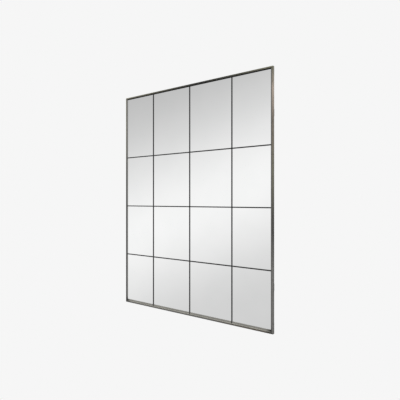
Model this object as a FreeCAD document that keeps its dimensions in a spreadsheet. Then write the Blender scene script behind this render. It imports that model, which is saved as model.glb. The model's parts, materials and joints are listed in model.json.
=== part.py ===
import FreeCAD, Part
import math
import os

import Sketcher

# Window mirror: a slim mitred metal frame, one mirror sheet behind a grid of glazing bars, a backing
# board kept in by turn buttons, and two ring hangers on a cross rail.
#
# Frame of the part: X to the right and Z up as seen from the front, Y into the wall. The origin is the
# middle of the wall plane, which the bumpers touch. Depths are measured from that plane to the front.

# Driving sizes in millimetres. A name that ends in share is a fraction of the size it follows.
SIZES = {
    # Outer frame
    "overall_width": 1200.0,
    "overall_height": 1500.0,
    "frame_face": 8.0,
    "frame_reveal": 1.5,
    "frame_round": 0.6,
    "groove_depth": 1.5,
    # Sloped bead round the glass
    "bead_show": 7.0,
    "bead_height": 3.5,
    "bead_land": 1.0,
    "bead_nose": 0.8,
    # Glazing bars: outer columns and top row are measured from the frame's edge to the bar's axis
    "bar_width": 7.0,
    "bar_thickness": 2.5,
    "bar_end_gap": 0.5,
    "outer_column": 275.0,
    "top_row": 440.0,
    # Mirror sheet, its setting blocks and tapes, and the backing board
    "glass_thickness": 4.0,
    "glass_gap": 2.0,
    "block_length": 60.0,
    "block_place_share": 0.25,
    "tape_thickness": 1.0,
    "tape_width": 20.0,
    "tape_end_gap": 40.0,
    "board_thickness": 5.0,
    "board_gap": 1.0,
    # Corner plates
    "plate_width": 7.0,
    "plate_thickness": 2.0,
    "plate_near_hole": 18.0,
    "plate_hole_pitch": 32.0,
    "plate_end": 10.0,
    # Cross rails behind the board, as high as the straps and a margin above and below them
    "rail_thickness": 3.0,
    "rail_margin": 1.0,
    "rail_drop": 260.0,
    "rail_end_gap": 0.5,
    "rail_screw_pitch": 20.0,
    # Strap hangers and their rings: the straps' screws straddle the bow of the lowered ring
    "hanger_inset": 220.0,
    "strap_width": 18.0,
    "strap_thickness": 1.2,
    "strap_joggle": 8.0,
    "strap_hole_offset": 7.5,
    "strap_end": 5.5,
    "eye_gap": 0.1,
    "wire_radius": 1.75,
    "ring_play": 1.0,
    "ring_corner": 4.0,
    "ring_side": 8.0,
    # Turn buttons
    "button_length": 36.0,
    "button_width": 7.0,
    "button_thickness": 1.5,
    "button_gap": 0.1,
    "side_button_share": 0.12,
    "level_button_share": 0.3,
    # Pan-head screws
    "screw_radius": 1.5,
    "screw_bite": 8.0,
    "thread_gap": 0.05,
    "hole_runout": 0.5,
    "head_radius": 2.75,
    "head_height": 1.8,
    "head_rim": 0.9,
    "head_crown": 1.9,
    "recess_width": 0.7,
    "recess_length": 3.0,
    "recess_depth": 0.9,
    # Wall bumpers
    "bumper_radius": 11.0,
    "bumper_face_radius": 9.0,
    "bumper_height": 11.0,
    "bumper_round": 1.0,
    "bumper_inset": 34.0,
    # Shared clearances
    "fit_gap": 0.1,
    "cut_overrun": 5.0,
}

LOWER_ROWS = 3
TAPE_COUNT = 4
FULL_TURN = 360.0
SHEET = "Sizes"

# The four sides of the frame, a quarter turn about Y apart: name, and whether it is level.
SIDES = (
    ("top", True),
    ("right", False),
    ("bottom", True),
    ("left", False),
)


class Length:
    """A length tied to the sheet: its expression, and its value for drawing it the first time."""

    def __init__(self, text, value):
        self.text = text
        self.value = value

    def __add__(self, other):
        return Length(f"({self.text} + {other.text})", self.value + other.value)

    def __sub__(self, other):
        return Length(f"({self.text} - {other.text})", self.value - other.value)

    def __mul__(self, factor):
        if isinstance(factor, Length):
            return Length(f"({self.text} * {factor.text})", self.value * factor.value)
        return Length(f"({self.text} * {factor!r})", self.value * factor)

    def __truediv__(self, count):
        return Length(f"({self.text} / {count!r})", self.value / count)

    def __neg__(self):
        return Length(f"(-{self.text})", -self.value)


ZERO = Length("0", 0.0)


def make_sheet(doc):
    """Write the driving sizes to the sheet and return each one as a Length."""
    sheet = doc.addObject("Spreadsheet::Sheet", SHEET)
    for row, (name, value) in enumerate(SIZES.items(), start=1):
        sheet.set(f"A{row}", name)
        sheet.set(f"B{row}", str(value))
        sheet.setAlias(f"B{row}", name)
    doc.recompute()
    return {name: Length(f"{SHEET}.{name}", value) for name, value in SIZES.items()}


def bind(target, prop, length):
    """Tie a property of an object to the sheet."""
    target.setExpression(prop, length.text)


def bind_place(target, x, depth, z):
    """Tie an object's position to the sheet, with its depth measured from the wall."""
    bind(target, "Placement.Base.x", x)
    bind(target, "Placement.Base.y", -depth)
    bind(target, "Placement.Base.z", z)


def turn(quarter_turns):
    """Return the rotation that carries the top side's pieces round to another side."""
    return FreeCAD.Rotation(FreeCAD.Vector(0, 1, 0), FULL_TURN / len(SIDES) * quarter_turns)


def new_body(doc, label, quarter_turns=0):
    """Start a body for one sub-part."""
    body = doc.addObject("PartDesign::Body", label)
    body.Label = label
    body.Placement = FreeCAD.Placement(FreeCAD.Vector(0, 0, 0), turn(quarter_turns))
    return body


def new_sketch(body, name, role, offset=ZERO):
    """Attach a sketch to one of its body's origin planes, moved along that plane's normal."""
    sketch = body.newObject("Sketcher::SketchObject", name)
    plane = next(item for item in body.Origin.OriginFeatures if item.Role == role)
    sketch.AttachmentSupport = [(plane, "")]
    sketch.MapMode = "FlatFace"
    bind(sketch, "AttachmentOffset.Base.z", offset)
    return sketch


def front_sketch(body, name, depth=ZERO):
    """Attach a sketch that is seen from the front, at a depth from the wall."""
    return new_sketch(body, name, "XZ_Plane", depth)


def constrain(sketch, length, kind, *geometry):
    """Add a dimension to a sketch and tie it to the sheet."""
    index = sketch.addConstraint(Sketcher.Constraint(kind, *geometry, length.value))
    bind(sketch, f"Constraints[{index}]", length)


def fix_point(sketch, geometry, point, place):
    """Fix a point of a sketch at a pair of lengths from the sketch's origin."""
    constrain(sketch, place[0], "DistanceX", -1, 1, geometry, point)
    constrain(sketch, place[1], "DistanceY", -1, 1, geometry, point)


def flat(place):
    """Return a pair of lengths as a point of the sketch's plane."""
    return FreeCAD.Vector(place[0].value, place[1].value, 0)


def arc_between(start, end, centre):
    """Return the anticlockwise arc from start to end about a centre."""
    middle = flat(centre)
    first = flat(start) - middle
    last = flat(end) - middle
    full = Part.Circle(middle, FreeCAD.Vector(0, 0, 1), first.Length)
    return Part.ArcOfCircle(full, math.atan2(first.y, first.x), math.atan2(last.y, last.x))


def outline(sketch, corners, centres=None):
    """Draw a closed outline.

    corners are pairs of lengths, anticlockwise where there are arcs. centres maps the number of a
    corner to the centre of the arc that leaves it, where the run to the next corner isn't straight.
    """
    centres = centres or {}
    first = sketch.GeometryCount
    count = len(corners)
    for number, start in enumerate(corners):
        end = corners[(number + 1) % count]
        if number in centres:
            run = arc_between(start, end, centres[number])
        else:
            run = Part.LineSegment(flat(start), flat(end))
        sketch.addGeometry(run, False)
    for number, start in enumerate(corners):
        following = (number + 1) % count
        sketch.addConstraint(Sketcher.Constraint("Coincident", first + number, 2, first + following, 1))
        fix_point(sketch, first + number, 1, start)
    for number, centre in centres.items():
        chord = flat(corners[(number + 1) % count]) - flat(corners[number])
        if abs(chord.x) > abs(chord.y):
            constrain(sketch, centre[1], "DistanceY", -1, 1, first + number, 3)
        else:
            constrain(sketch, centre[0], "DistanceX", -1, 1, first + number, 3)


def rectangle(sketch, left, right, low, high):
    """Draw an upright rectangle between four lengths."""
    outline(sketch, [(left, low), (right, low), (right, high), (left, high)])


def circle(sketch, centre, radius):
    """Draw a circle about a pair of lengths."""
    ring = Part.Circle(flat(centre), FreeCAD.Vector(0, 0, 1), radius.value)
    index = sketch.addGeometry(ring, False)
    constrain(sketch, radius, "Radius", index)
    fix_point(sketch, index, 3, centre)


def pad(body, sketch, length, symmetric=False):
    """Pad a sketch along its normal, or evenly to both sides of it."""
    feature = body.newObject("PartDesign::Pad", f"{sketch.Name}_pad")
    feature.Profile = sketch
    feature.SideType = "Symmetric" if symmetric else "One side"
    bind(feature, "Length", length)
    sketch.Visibility = False
    return feature


def cut_forward(body, sketch, length):
    """Cut a sketch into the body, from the sketch towards the front."""
    feature = body.newObject("PartDesign::Pocket", f"{sketch.Name}_cut")
    feature.Profile = sketch
    feature.Reversed = True
    bind(feature, "Length", length)
    return feature


def cut_through(body, sketch):
    """Cut a sketch right through the body, to both sides of it."""
    feature = body.newObject("PartDesign::Pocket", f"{sketch.Name}_cut")
    feature.Profile = sketch
    feature.SideType = "Symmetric"
    feature.Type = "ThroughAll"
    return feature


def revolve(body, sketch):
    """Turn a half section about its own upright axis."""
    feature = body.newObject("PartDesign::Revolution", f"{sketch.Name}_turned")
    feature.Profile = sketch
    feature.ReferenceAxis = (sketch, ["V_Axis"])
    feature.Angle = FULL_TURN
    return feature


def round_edges(doc, body, base, radius, wanted):
    """Round those edges of a feature that a test picks out."""
    doc.recompute()
    names = [f"Edge{number}" for number, edge in enumerate(base.Shape.Edges, start=1) if wanted(edge)]
    feature = body.newObject("PartDesign::Fillet", f"{body.Name}_round")
    feature.Base = (base, names)
    bind(feature, "Radius", radius)
    return feature


def box(doc, label, x_range, depth_range, z_range):
    """Make a plain block between pairs of lengths, with depths from the wall."""
    block = doc.addObject("Part::Box", label)
    block.Label = label
    bind(block, "Length", x_range[1] - x_range[0])
    bind(block, "Width", depth_range[1] - depth_range[0])
    bind(block, "Height", z_range[1] - z_range[0])
    bind_place(block, x_range[0], depth_range[1], z_range[0])
    return block


def both_sides(length):
    """Return a length to the left and to the right of the middle."""
    return (-length, length)


class Layout:
    """Depths, half sizes and places that several pieces share."""

    def __init__(self, size):
        self.size = size
        # Depths from the wall, back to front
        self.rear = size["bumper_height"]
        self.board_front = self.rear + size["board_thickness"]
        self.glass_back = self.board_front + size["tape_thickness"]
        self.glass_front = self.glass_back + size["glass_thickness"]
        self.bead_front = self.glass_front + size["bead_height"]
        self.frame_front = self.bead_front + size["frame_reveal"]
        self.rail_back = self.rear - size["rail_thickness"]
        # Half sizes of the outline and of the opening inside the frame
        self.half_width = size["overall_width"] / 2
        self.half_height = size["overall_height"] / 2
        self.open_half_width = self.half_width - size["frame_face"]
        self.open_half_height = self.half_height - size["frame_face"]
        # Glazing bars: equal rows below the top row, and a sill bar along the bottom bead
        side_column = self.half_width - size["outer_column"]
        self.columns = (-side_column, ZERO, side_column)
        first_level = self.half_height - size["top_row"]
        row = (size["overall_height"] - size["top_row"]) / LOWER_ROWS
        self.levels = tuple(first_level - row * number for number in range(LOWER_ROWS))
        self.sill_level = size["bead_show"] + size["fit_gap"] + size["bar_width"] / 2 - self.open_half_height
        # Places of the fasteners along a side, from its middle
        self.member_axis = size["frame_face"] / 2
        self.rail_level = self.half_height - size["rail_drop"]
        half_pitch = size["rail_screw_pitch"] / 2
        self.rail_holes = (self.rail_level - half_pitch, self.rail_level + half_pitch)
        # Ring hangers: the ring's straight leg is as long as the strap is wide, with play at both ends
        self.ring_leg = size["strap_width"] / 2 + size["ring_play"]
        self.ring_half_width = self.ring_leg + size["ring_corner"]
        bow = size["ring_side"] + self.ring_half_width
        self.strap_holes = (bow - size["strap_hole_offset"], bow + size["strap_hole_offset"])
        self.strap_length = self.strap_holes[1] + size["strap_end"]
        self.eye_inner = size["wire_radius"] + size["eye_gap"]
        self.eye_outer = self.eye_inner + size["strap_thickness"]
        self.eye_depth = self.rail_back - self.eye_outer
        # The straps lie on the upper rail, which is a margin higher than they are
        self.rail_half_height = (self.strap_length + self.eye_outer) / 2 + size["rail_margin"]
        self.eye_level = self.rail_level + self.rail_half_height - size["rail_margin"] - self.eye_outer
        self.hanger_place = self.half_width - size["hanger_inset"]
        # Corner plates: screw holes along a leg, and the leg's length
        far_hole = size["plate_near_hole"] + size["plate_hole_pitch"]
        self.plate_holes = (size["plate_near_hole"], far_hole)
        self.plate_leg = far_hole + size["plate_end"]
        # Holes that take a screw's thread, and holes that a screw passes or turns in
        self.thread_hole = size["screw_radius"] + size["thread_gap"]
        self.pass_hole = size["screw_radius"] + size["fit_gap"]

    def half_length(self, level):
        """Return half the outer length of a level or an upright side."""
        return self.half_width if level else self.half_height

    def reach(self, level):
        """Return the distance from the middle of the part to a side's outer face."""
        return self.half_height if level else self.half_width

    def button_places(self, level):
        """Return the places of the turn buttons along a side."""
        if level:
            return both_sides(self.half_width - self.size["overall_width"] * self.size["level_button_share"])
        outer = self.half_height - self.size["overall_height"] * self.size["side_button_share"]
        return (-outer, ZERO, outer)

    def plate_places(self, level):
        """Return the places of the corner plates' screws along a side."""
        near, far = self.plate_holes
        end = self.half_length(level)
        return both_sides(end - near) + both_sides(end - far)

    def fastener_places(self, level):
        """Return the places of all the screws in a side."""
        places = self.plate_places(level) + self.button_places(level)
        if level:
            return places
        return places + self.rail_holes + tuple(-place for place in self.rail_holes)

    def bar_places(self, name):
        """Return the places of the bar ends along a side, in that side's own direction."""
        if name in ("top", "bottom"):
            return self.columns
        if name == "left":
            return self.levels
        return tuple(-level for level in self.levels)


def mitre(body, layout, level, width):
    """Cut both ends of a strip to the diagonals of the corners."""
    overrun = layout.size["cut_overrun"]
    outer = layout.half_length(level) + overrun
    inner = layout.half_length(level) - width - overrun
    high = layout.reach(level) + overrun
    low = layout.reach(level) - width - overrun
    sketch = front_sketch(body, f"{body.Name}_mitres")
    outline(sketch, [(outer, low), (outer, high), (inner, low)])
    outline(sketch, [(-outer, low), (-inner, low), (-outer, high)])
    return cut_through(body, sketch)


def carry(quarter_turns, x, z):
    """Return where a place on the top side goes on another side, as X and Z."""
    return ((x, z), (z, -x), (-x, -z), (-z, x))[quarter_turns]


def frame_member(doc, layout, name, quarter_turns, level):
    """One mitred bar of the frame, grooved for the bead and tapped at the back for its screws."""
    size = layout.size
    label = f"frame_{name}_rail" if level else f"frame_{name}_stile"
    body = new_body(doc, label, quarter_turns)
    outer = layout.reach(level)
    inner = outer - size["frame_face"]
    groove = inner + size["groove_depth"]
    section = new_sketch(body, f"{label}_section", "YZ_Plane")
    outline(
        section,
        [
            (-layout.frame_front, inner),
            (-layout.bead_front, inner),
            (-layout.bead_front, groove),
            (-layout.glass_front, groove),
            (-layout.glass_front, inner),
            (-layout.rear, inner),
            (-layout.rear, outer),
            (-layout.frame_front, outer),
        ],
    )
    pad(body, section, layout.half_length(level) * 2, symmetric=True)
    mitred = mitre(body, layout, level, size["frame_face"])
    front = -layout.frame_front.value
    near = size["frame_round"].value / 2

    def lies_along_front(edge):
        extent = edge.BoundBox
        return abs(extent.YMin - front) < near and extent.YLength < near and extent.ZLength < near

    round_edges(doc, body, mitred, size["frame_round"], lies_along_front)
    holes = front_sketch(body, f"{label}_holes", layout.rear)
    for place in layout.fastener_places(level):
        circle(holes, (place, outer - layout.member_axis), layout.thread_hole)
    cut_forward(body, holes, size["screw_bite"] + size["hole_runout"])
    return body


def bead(doc, layout, name, quarter_turns, level):
    """One sloped strip in the frame's groove, notched at the back over the ends of the bars."""
    size = layout.size
    label = f"bead_{name}"
    body = new_body(doc, label, quarter_turns)
    frame_inner = layout.reach(level) - size["frame_face"]
    inner = frame_inner - size["bead_show"]
    tongue = frame_inner + size["groove_depth"] - size["fit_gap"]
    section = new_sketch(body, f"{label}_section", "YZ_Plane")
    outline(
        section,
        [
            (-layout.glass_front, inner),
            (-layout.glass_front, tongue),
            (-layout.bead_front, tongue),
            (-layout.bead_front, frame_inner - size["bead_land"]),
            (-layout.glass_front - size["bead_nose"], inner),
        ],
    )
    pad(body, section, layout.half_length(level) * 2, symmetric=True)
    mitre(body, layout, level, size["frame_face"] + size["bead_show"])
    half_notch = size["bar_width"] / 2 + size["fit_gap"]
    notches = front_sketch(body, f"{label}_notches", layout.glass_front)
    for place in layout.bar_places(name):
        rectangle(notches, *about(place, half_notch), inner - size["cut_overrun"], frame_inner)
    cut_forward(body, notches, size["bar_thickness"] + size["fit_gap"])
    return body


def strip(sketch, upright, across, along):
    """Draw a rectangle from its ranges across and along a bar."""
    if upright:
        rectangle(sketch, *across, *along)
    else:
        rectangle(sketch, *along, *across)


def about(middle, half):
    """Return the range of a length to both sides of a middle."""
    return (middle - half, middle + half)


def glazing_bar(doc, layout, label, upright, place, half_length):
    """One bar on the glass, halved where it crosses the others: at the back if upright, else in front."""
    size = layout.size
    half_width = size["bar_width"] / 2
    half_thickness = size["bar_thickness"] / 2
    body = new_body(doc, label)
    face = front_sketch(body, f"{label}_face", layout.glass_front)
    strip(face, upright, about(place, half_width), both_sides(half_length))
    pad(body, face, size["bar_thickness"])
    lap_depth = layout.glass_front if upright else layout.glass_front + half_thickness
    laps = front_sketch(body, f"{label}_laps", lap_depth)
    for crossing in (*layout.levels, layout.sill_level) if upright else layout.columns:
        across = about(place, half_width + size["cut_overrun"])
        strip(laps, upright, across, about(crossing, half_width + size["fit_gap"]))
    cut_forward(body, laps, half_thickness)
    return body


def glass_pack(doc, layout):
    """The mirror sheet on its setting blocks, the tapes behind it and the backing board."""
    size = layout.size
    half_width = layout.open_half_width - size["glass_gap"]
    half_height = layout.open_half_height - size["glass_gap"]
    sheet_depths = (layout.glass_back, layout.glass_front)
    nodes = [box(doc, "mirror_sheet", both_sides(half_width), sheet_depths, both_sides(half_height))]

    half_block = size["block_length"] / 2
    block_levels = (-layout.open_half_height, -half_height)
    block_places = both_sides(half_width * 2 * size["block_place_share"])
    for name, place in zip(("left", "right"), block_places):
        x_range = about(place, half_block)
        nodes.append(box(doc, f"setting_block_{name}", x_range, sheet_depths, block_levels))

    board_half_width = layout.open_half_width - size["board_gap"]
    board_half_height = layout.open_half_height - size["board_gap"]
    half_tape = size["tape_width"] / 2
    tape_levels = both_sides(board_half_height - size["tape_end_gap"])
    tape_pitch = board_half_width * 2 / TAPE_COUNT
    for number in range(TAPE_COUNT):
        place = tape_pitch * number + tape_pitch / 2 - board_half_width
        x_range = about(place, half_tape)
        depths = (layout.board_front, layout.glass_back)
        nodes.append(box(doc, f"mounting_tape_{number + 1}", x_range, depths, tape_levels))

    board_depths = (layout.rear, layout.board_front)
    board_levels = both_sides(board_half_height)
    nodes.append(box(doc, "backing_board", both_sides(board_half_width), board_depths, board_levels))
    return nodes


def corner_plate(doc, layout, name, quarter_turns):
    """One flat angle plate across the back of a mitre."""
    size = layout.size
    label = f"corner_plate_{name}"
    body = new_body(doc, label, quarter_turns)
    x, z = corner_place(layout, quarter_turns, ZERO)
    bind_place(body, x, layout.rear, z)
    edge = (size["frame_face"] - size["plate_width"]) / 2
    inside = edge + size["plate_width"]
    leg = layout.plate_leg
    face = front_sketch(body, f"{label}_face", -size["plate_thickness"])
    outline(
        face,
        [(-edge, -edge), (-leg, -edge), (-leg, -inside), (-inside, -inside), (-inside, -leg), (-edge, -leg)],
    )
    for hole in layout.plate_holes:
        circle(face, (-hole, -layout.member_axis), layout.pass_hole)
        circle(face, (-layout.member_axis, -hole), layout.pass_hole)
    pad(body, face, size["plate_thickness"])
    return body


def corner_place(layout, quarter_turns, inset):
    """Return X and Z of a corner of the frame, moved in by an inset both ways."""
    across = layout.half_width - inset
    up = layout.half_height - inset
    return ((across, up), (across, -up), (-across, -up), (-across, up))[quarter_turns]


def cross_rail(doc, layout, label, place, hanger_holes):
    """One flat rail across the back, screwed to both stiles."""
    size = layout.size
    body = new_body(doc, label)
    bind_place(body, ZERO, ZERO, place)
    half_length = layout.half_width - size["rail_end_gap"]
    face = front_sketch(body, f"{label}_face", layout.rail_back)
    rectangle(face, *both_sides(half_length), *both_sides(layout.rail_half_height))
    for x in both_sides(layout.half_width - layout.member_axis):
        for z in both_sides(size["rail_screw_pitch"] / 2):
            circle(face, (x, z), layout.pass_hole)
    for x, z in hanger_holes:
        circle(face, (x, z - place), layout.thread_hole)
    pad(body, face, size["rail_thickness"])
    return body


def hanger_screw_places(layout):
    """Return X and Z of the screws that hold the two straps."""
    places = both_sides(layout.hanger_place)
    return [(x, layout.eye_level - hole) for x in places for hole in layout.strap_holes]


def hanger_strap(doc, layout, name, place):
    """One folded strap: an eye round the ring's leg, and both ends lying flat on the rail."""
    size = layout.size
    label = f"hanger_strap_{name}"
    body = new_body(doc, label)
    bind_place(body, place, layout.eye_depth, layout.eye_level)
    flat_back = size["strap_thickness"] * 2 - layout.eye_outer
    section = new_sketch(body, f"{label}_section", "YZ_Plane")
    outline(
        section,
        [
            (-layout.eye_outer, -layout.strap_length),
            (flat_back, -layout.strap_length),
            (flat_back, -size["strap_joggle"]),
            (layout.eye_outer, ZERO),
            (-layout.eye_outer, ZERO),
        ],
        {3: (ZERO, ZERO)},
    )
    circle(section, (ZERO, ZERO), layout.eye_inner)
    pad(body, section, size["strap_width"], symmetric=True)
    holes = front_sketch(body, f"{label}_holes")
    for hole in layout.strap_holes:
        circle(holes, (ZERO, -hole), layout.pass_hole)
    cut_through(body, holes)
    return body


def hanger_ring(doc, layout, name, place):
    """One D-ring of bent wire, its straight leg in the strap's eye and its bow upwards."""
    size = layout.size
    label = f"hanger_ring_{name}"
    body = new_body(doc, label)
    bind_place(body, place, layout.eye_depth, layout.eye_level)
    half_width = layout.ring_half_width
    leg = layout.ring_leg
    corner = size["ring_corner"]
    side = size["ring_side"]
    path = front_sketch(body, f"{label}_path")
    outline(
        path,
        [(-leg, ZERO), (leg, ZERO), (half_width, corner), (half_width, side), (-half_width, side),
         (-half_width, corner)],
        {1: (leg, corner), 3: (ZERO, side), 5: (-leg, corner)},
    )
    wire = new_sketch(body, f"{label}_wire", "YZ_Plane")
    circle(wire, (ZERO, ZERO), size["wire_radius"])
    doc.recompute()
    sweep = body.newObject("PartDesign::AdditivePipe", f"{label}_sweep")
    sweep.Profile = wire
    sweep.Spine = (path, [])
    return body


def turn_button(doc, layout, label, quarter_turns, x, z):
    """One flat turn button, closed: it points inwards over the board from its pivot hole."""
    size = layout.size
    body = new_body(doc, label, quarter_turns)
    bind_place(body, x, layout.rear, z)
    half_width = size["button_width"] / 2
    tip = size["button_width"] - size["button_length"]
    face = front_sketch(body, f"{label}_face", -size["button_gap"] - size["button_thickness"])
    outline(
        face,
        [(half_width, ZERO), (-half_width, ZERO), (-half_width, tip), (half_width, tip)],
        {0: (ZERO, ZERO), 2: (ZERO, tip)},
    )
    circle(face, (ZERO, ZERO), layout.pass_hole)
    pad(body, face, size["button_thickness"])
    return body


def screw_pattern(doc, layout, name, shank):
    """One pan-head screw at the origin, its head's seat on the XZ plane and its shank to the front."""
    size = layout.size
    body = new_body(doc, f"{name}_pattern")
    half_section = new_sketch(body, f"{name}_section", "XY_Plane")
    outline(
        half_section,
        [
            (ZERO, -shank),
            (size["screw_radius"], -shank),
            (size["screw_radius"], ZERO),
            (size["head_radius"], ZERO),
            (size["head_radius"], size["head_rim"]),
            (size["head_crown"], size["head_height"]),
            (ZERO, size["head_height"]),
        ],
    )
    revolve(body, half_section)
    arm = size["recess_length"] / 2
    half = size["recess_width"] / 2
    recess = front_sketch(body, f"{name}_recess", -size["head_height"])
    outline(
        recess,
        [(half, -arm), (half, -half), (arm, -half), (arm, half), (half, half), (half, arm),
         (-half, arm), (-half, half), (-arm, half), (-arm, -half), (-half, -half), (-half, -arm)],
    )
    cut_forward(body, recess, size["recess_depth"])
    return body


def screw_group(doc, layout, label, stack, bite, places):
    """All screws of one kind, their heads seated at the back of a stack that they pass through."""
    base, thickness = stack
    pattern = screw_pattern(doc, layout, label, thickness + bite)
    copies = []
    for x, z in places:
        copy = doc.addObject("App::Link", f"{label}_{len(copies) + 1}")
        copy.LinkedObject = pattern
        bind_place(copy, x, base - thickness, z)
        copies.append(copy)
    group = doc.addObject("Part::Compound", label)
    group.Label = label
    group.Links = copies
    return group


def bumper(doc, layout, name, quarter_turns):
    """One rubber bumper on the board, with a rounded rim against the wall."""
    size = layout.size
    label = f"wall_bumper_{name}"
    body = new_body(doc, label)
    x, z = corner_place(layout, quarter_turns, size["bumper_inset"])
    bind_place(body, x, ZERO, z)
    half_section = new_sketch(body, f"{label}_section", "XY_Plane")
    outline(
        half_section,
        [
            (ZERO, -size["bumper_height"]),
            (size["bumper_radius"], -size["bumper_height"]),
            (size["bumper_face_radius"], ZERO),
            (ZERO, ZERO),
        ],
    )
    turned = revolve(body, half_section)
    near = size["bumper_round"].value / 2
    round_edges(doc, body, turned, size["bumper_round"], lambda edge: edge.BoundBox.YMin > -near)
    return body


def build(doc, layout):
    """Build every sub-part and return them."""
    size = layout.size
    nodes = []
    corner_names = ("top_right", "bottom_right", "bottom_left", "top_left")
    plate_screws = []
    button_screws = []
    for quarter_turns, (name, level) in enumerate(SIDES):
        nodes.append(frame_member(doc, layout, name, quarter_turns, level))
        nodes.append(bead(doc, layout, name, quarter_turns, level))
        nodes.append(corner_plate(doc, layout, corner_names[quarter_turns], quarter_turns))
        nodes.append(bumper(doc, layout, corner_names[quarter_turns], quarter_turns))
        axis = layout.reach(level) - layout.member_axis
        plate_screws += [carry(quarter_turns, place, axis) for place in layout.plate_places(level)]
        for number, place in enumerate(layout.button_places(level), start=1):
            x, z = carry(quarter_turns, place, axis)
            button_screws.append((x, z))
            nodes.append(turn_button(doc, layout, f"turn_button_{name}_{number}", quarter_turns, x, z))

    # The sill bar stops at the side beads, the other bars run under the beads
    upright_length = layout.open_half_height - size["bar_end_gap"]
    level_length = layout.open_half_width - size["bar_end_gap"]
    sill_length = layout.open_half_width - size["bead_show"] - size["fit_gap"]
    for name, column in zip(("left", "middle", "right"), layout.columns):
        nodes.append(glazing_bar(doc, layout, f"upright_bar_{name}", True, column, upright_length))
    for name, level in zip(("upper", "middle", "lower"), layout.levels):
        nodes.append(glazing_bar(doc, layout, f"level_bar_{name}", False, level, level_length))
    nodes.append(glazing_bar(doc, layout, "level_bar_sill", False, layout.sill_level, sill_length))
    nodes += glass_pack(doc, layout)

    strap_screws = hanger_screw_places(layout)
    nodes.append(cross_rail(doc, layout, "hanging_rail", layout.rail_level, strap_screws))
    nodes.append(cross_rail(doc, layout, "lower_rail", -layout.rail_level, []))
    for name, place in zip(("left", "right"), both_sides(layout.hanger_place)):
        nodes.append(hanger_strap(doc, layout, name, place))
        nodes.append(hanger_ring(doc, layout, name, place))

    rail_screws = [
        (x, z)
        for x in both_sides(layout.half_width - layout.member_axis)
        for hole in layout.rail_holes
        for z in both_sides(hole)
    ]
    bite = size["screw_bite"]
    strap_bite = size["rail_thickness"] - size["fit_gap"]
    button_stack = size["button_thickness"] + size["button_gap"] * 2
    fasteners = (
        ("corner_plate_screws", (layout.rear, size["plate_thickness"]), bite, plate_screws),
        ("rail_screws", (layout.rear, size["rail_thickness"]), bite, rail_screws),
        ("turn_button_screws", (layout.rear, button_stack), bite, button_screws),
        ("hanger_screws", (layout.rail_back, size["strap_thickness"] * 2), strap_bite, strap_screws),
    )
    for label, stack, depth, places in fasteners:
        nodes.append(screw_group(doc, layout, label, stack, depth, places))
    return nodes


def check(doc, nodes):
    """Stop if any object failed, any cut removed nothing or any sub-part has no valid shape."""
    for item in doc.Objects:
        if {"Invalid", "Error"} & set(item.State):
            raise RuntimeError(f"{item.Name} failed: {item.State}")
        if item.TypeId == "PartDesign::Pocket" and item.Shape.Volume >= item.BaseFeature.Shape.Volume:
            raise RuntimeError(f"{item.Name} cuts nothing")
    for node in nodes:
        if node.Shape.isNull() or not node.Shape.isValid():
            raise RuntimeError(f"{node.Label} has no valid shape")


def export(nodes):
    """Write each sub-part's shape to a file of its own name."""
    os.makedirs("parts", exist_ok=True)
    for node in nodes:
        node.Shape.exportStep(f"parts/{node.Label}.step")
        print(f"{node.Label}: {len(node.Shape.Solids)} solids, {node.Shape.Volume:.1f} mm3")


def main():
    """Build the mirror, check it and write its sub-parts."""
    doc = FreeCAD.newDocument("window_mirror")
    layout = Layout(make_sheet(doc))
    nodes = build(doc, layout)
    doc.recompute()
    check(doc, nodes)
    export(nodes)


main()
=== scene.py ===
"""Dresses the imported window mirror: softened bars, hardware, finishes, studio and camera.

Lengths are metres in the part's own frame. The origin is the middle of the wall plane, +X runs to the right
and +Z up as seen from the front, and +Y runs into the wall.
"""

import json
import logging
import math
from abc import ABC, abstractmethod
from collections.abc import Iterable, Sequence
from dataclasses import dataclass
from enum import Enum
from functools import partial, reduce
from typing import Union

import bpy
import numpy as np
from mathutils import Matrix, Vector


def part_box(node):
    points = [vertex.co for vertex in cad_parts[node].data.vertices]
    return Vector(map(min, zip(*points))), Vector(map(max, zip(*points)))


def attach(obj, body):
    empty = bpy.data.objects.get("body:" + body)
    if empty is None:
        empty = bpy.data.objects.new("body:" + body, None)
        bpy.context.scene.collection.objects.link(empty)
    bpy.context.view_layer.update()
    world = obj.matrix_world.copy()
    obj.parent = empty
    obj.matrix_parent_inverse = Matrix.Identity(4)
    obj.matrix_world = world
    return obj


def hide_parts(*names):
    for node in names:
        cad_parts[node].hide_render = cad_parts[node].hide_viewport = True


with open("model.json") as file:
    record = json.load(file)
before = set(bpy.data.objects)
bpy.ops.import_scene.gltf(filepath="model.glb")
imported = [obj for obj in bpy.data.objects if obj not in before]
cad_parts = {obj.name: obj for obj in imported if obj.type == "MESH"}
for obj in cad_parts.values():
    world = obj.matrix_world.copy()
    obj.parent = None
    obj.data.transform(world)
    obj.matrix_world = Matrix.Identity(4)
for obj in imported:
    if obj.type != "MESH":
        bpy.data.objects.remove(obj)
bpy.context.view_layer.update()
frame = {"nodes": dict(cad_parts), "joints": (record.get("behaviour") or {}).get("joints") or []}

LOG = logging.getLogger("window_mirror")
FIXED_BODY = "mirror"
MM = 0.001
TURN = 2.0 * math.pi
HALF_TURN = TURN / 2.0
QUARTER_TURN = TURN / 4.0
SHARP_ANGLE = math.radians(40.0)

RAIL_LOW, RAIL_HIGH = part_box("frame_top_rail")
HALF_WIDTH = RAIL_HIGH.x
HALF_HEIGHT = RAIL_HIGH.z
FACE_WIDTH = RAIL_HIGH.z - RAIL_LOW.z
FRONT_DEPTH = RAIL_LOW.y

Socket = bpy.types.NodeSocket
Value = Union[float, Socket]
Colour = tuple[float, float, float]
Tint = Union[Colour, Socket]
Triple = tuple[float, float, float]
Stops = Sequence[tuple[float, Colour]]
Pieces = list[bpy.types.Object]


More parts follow.
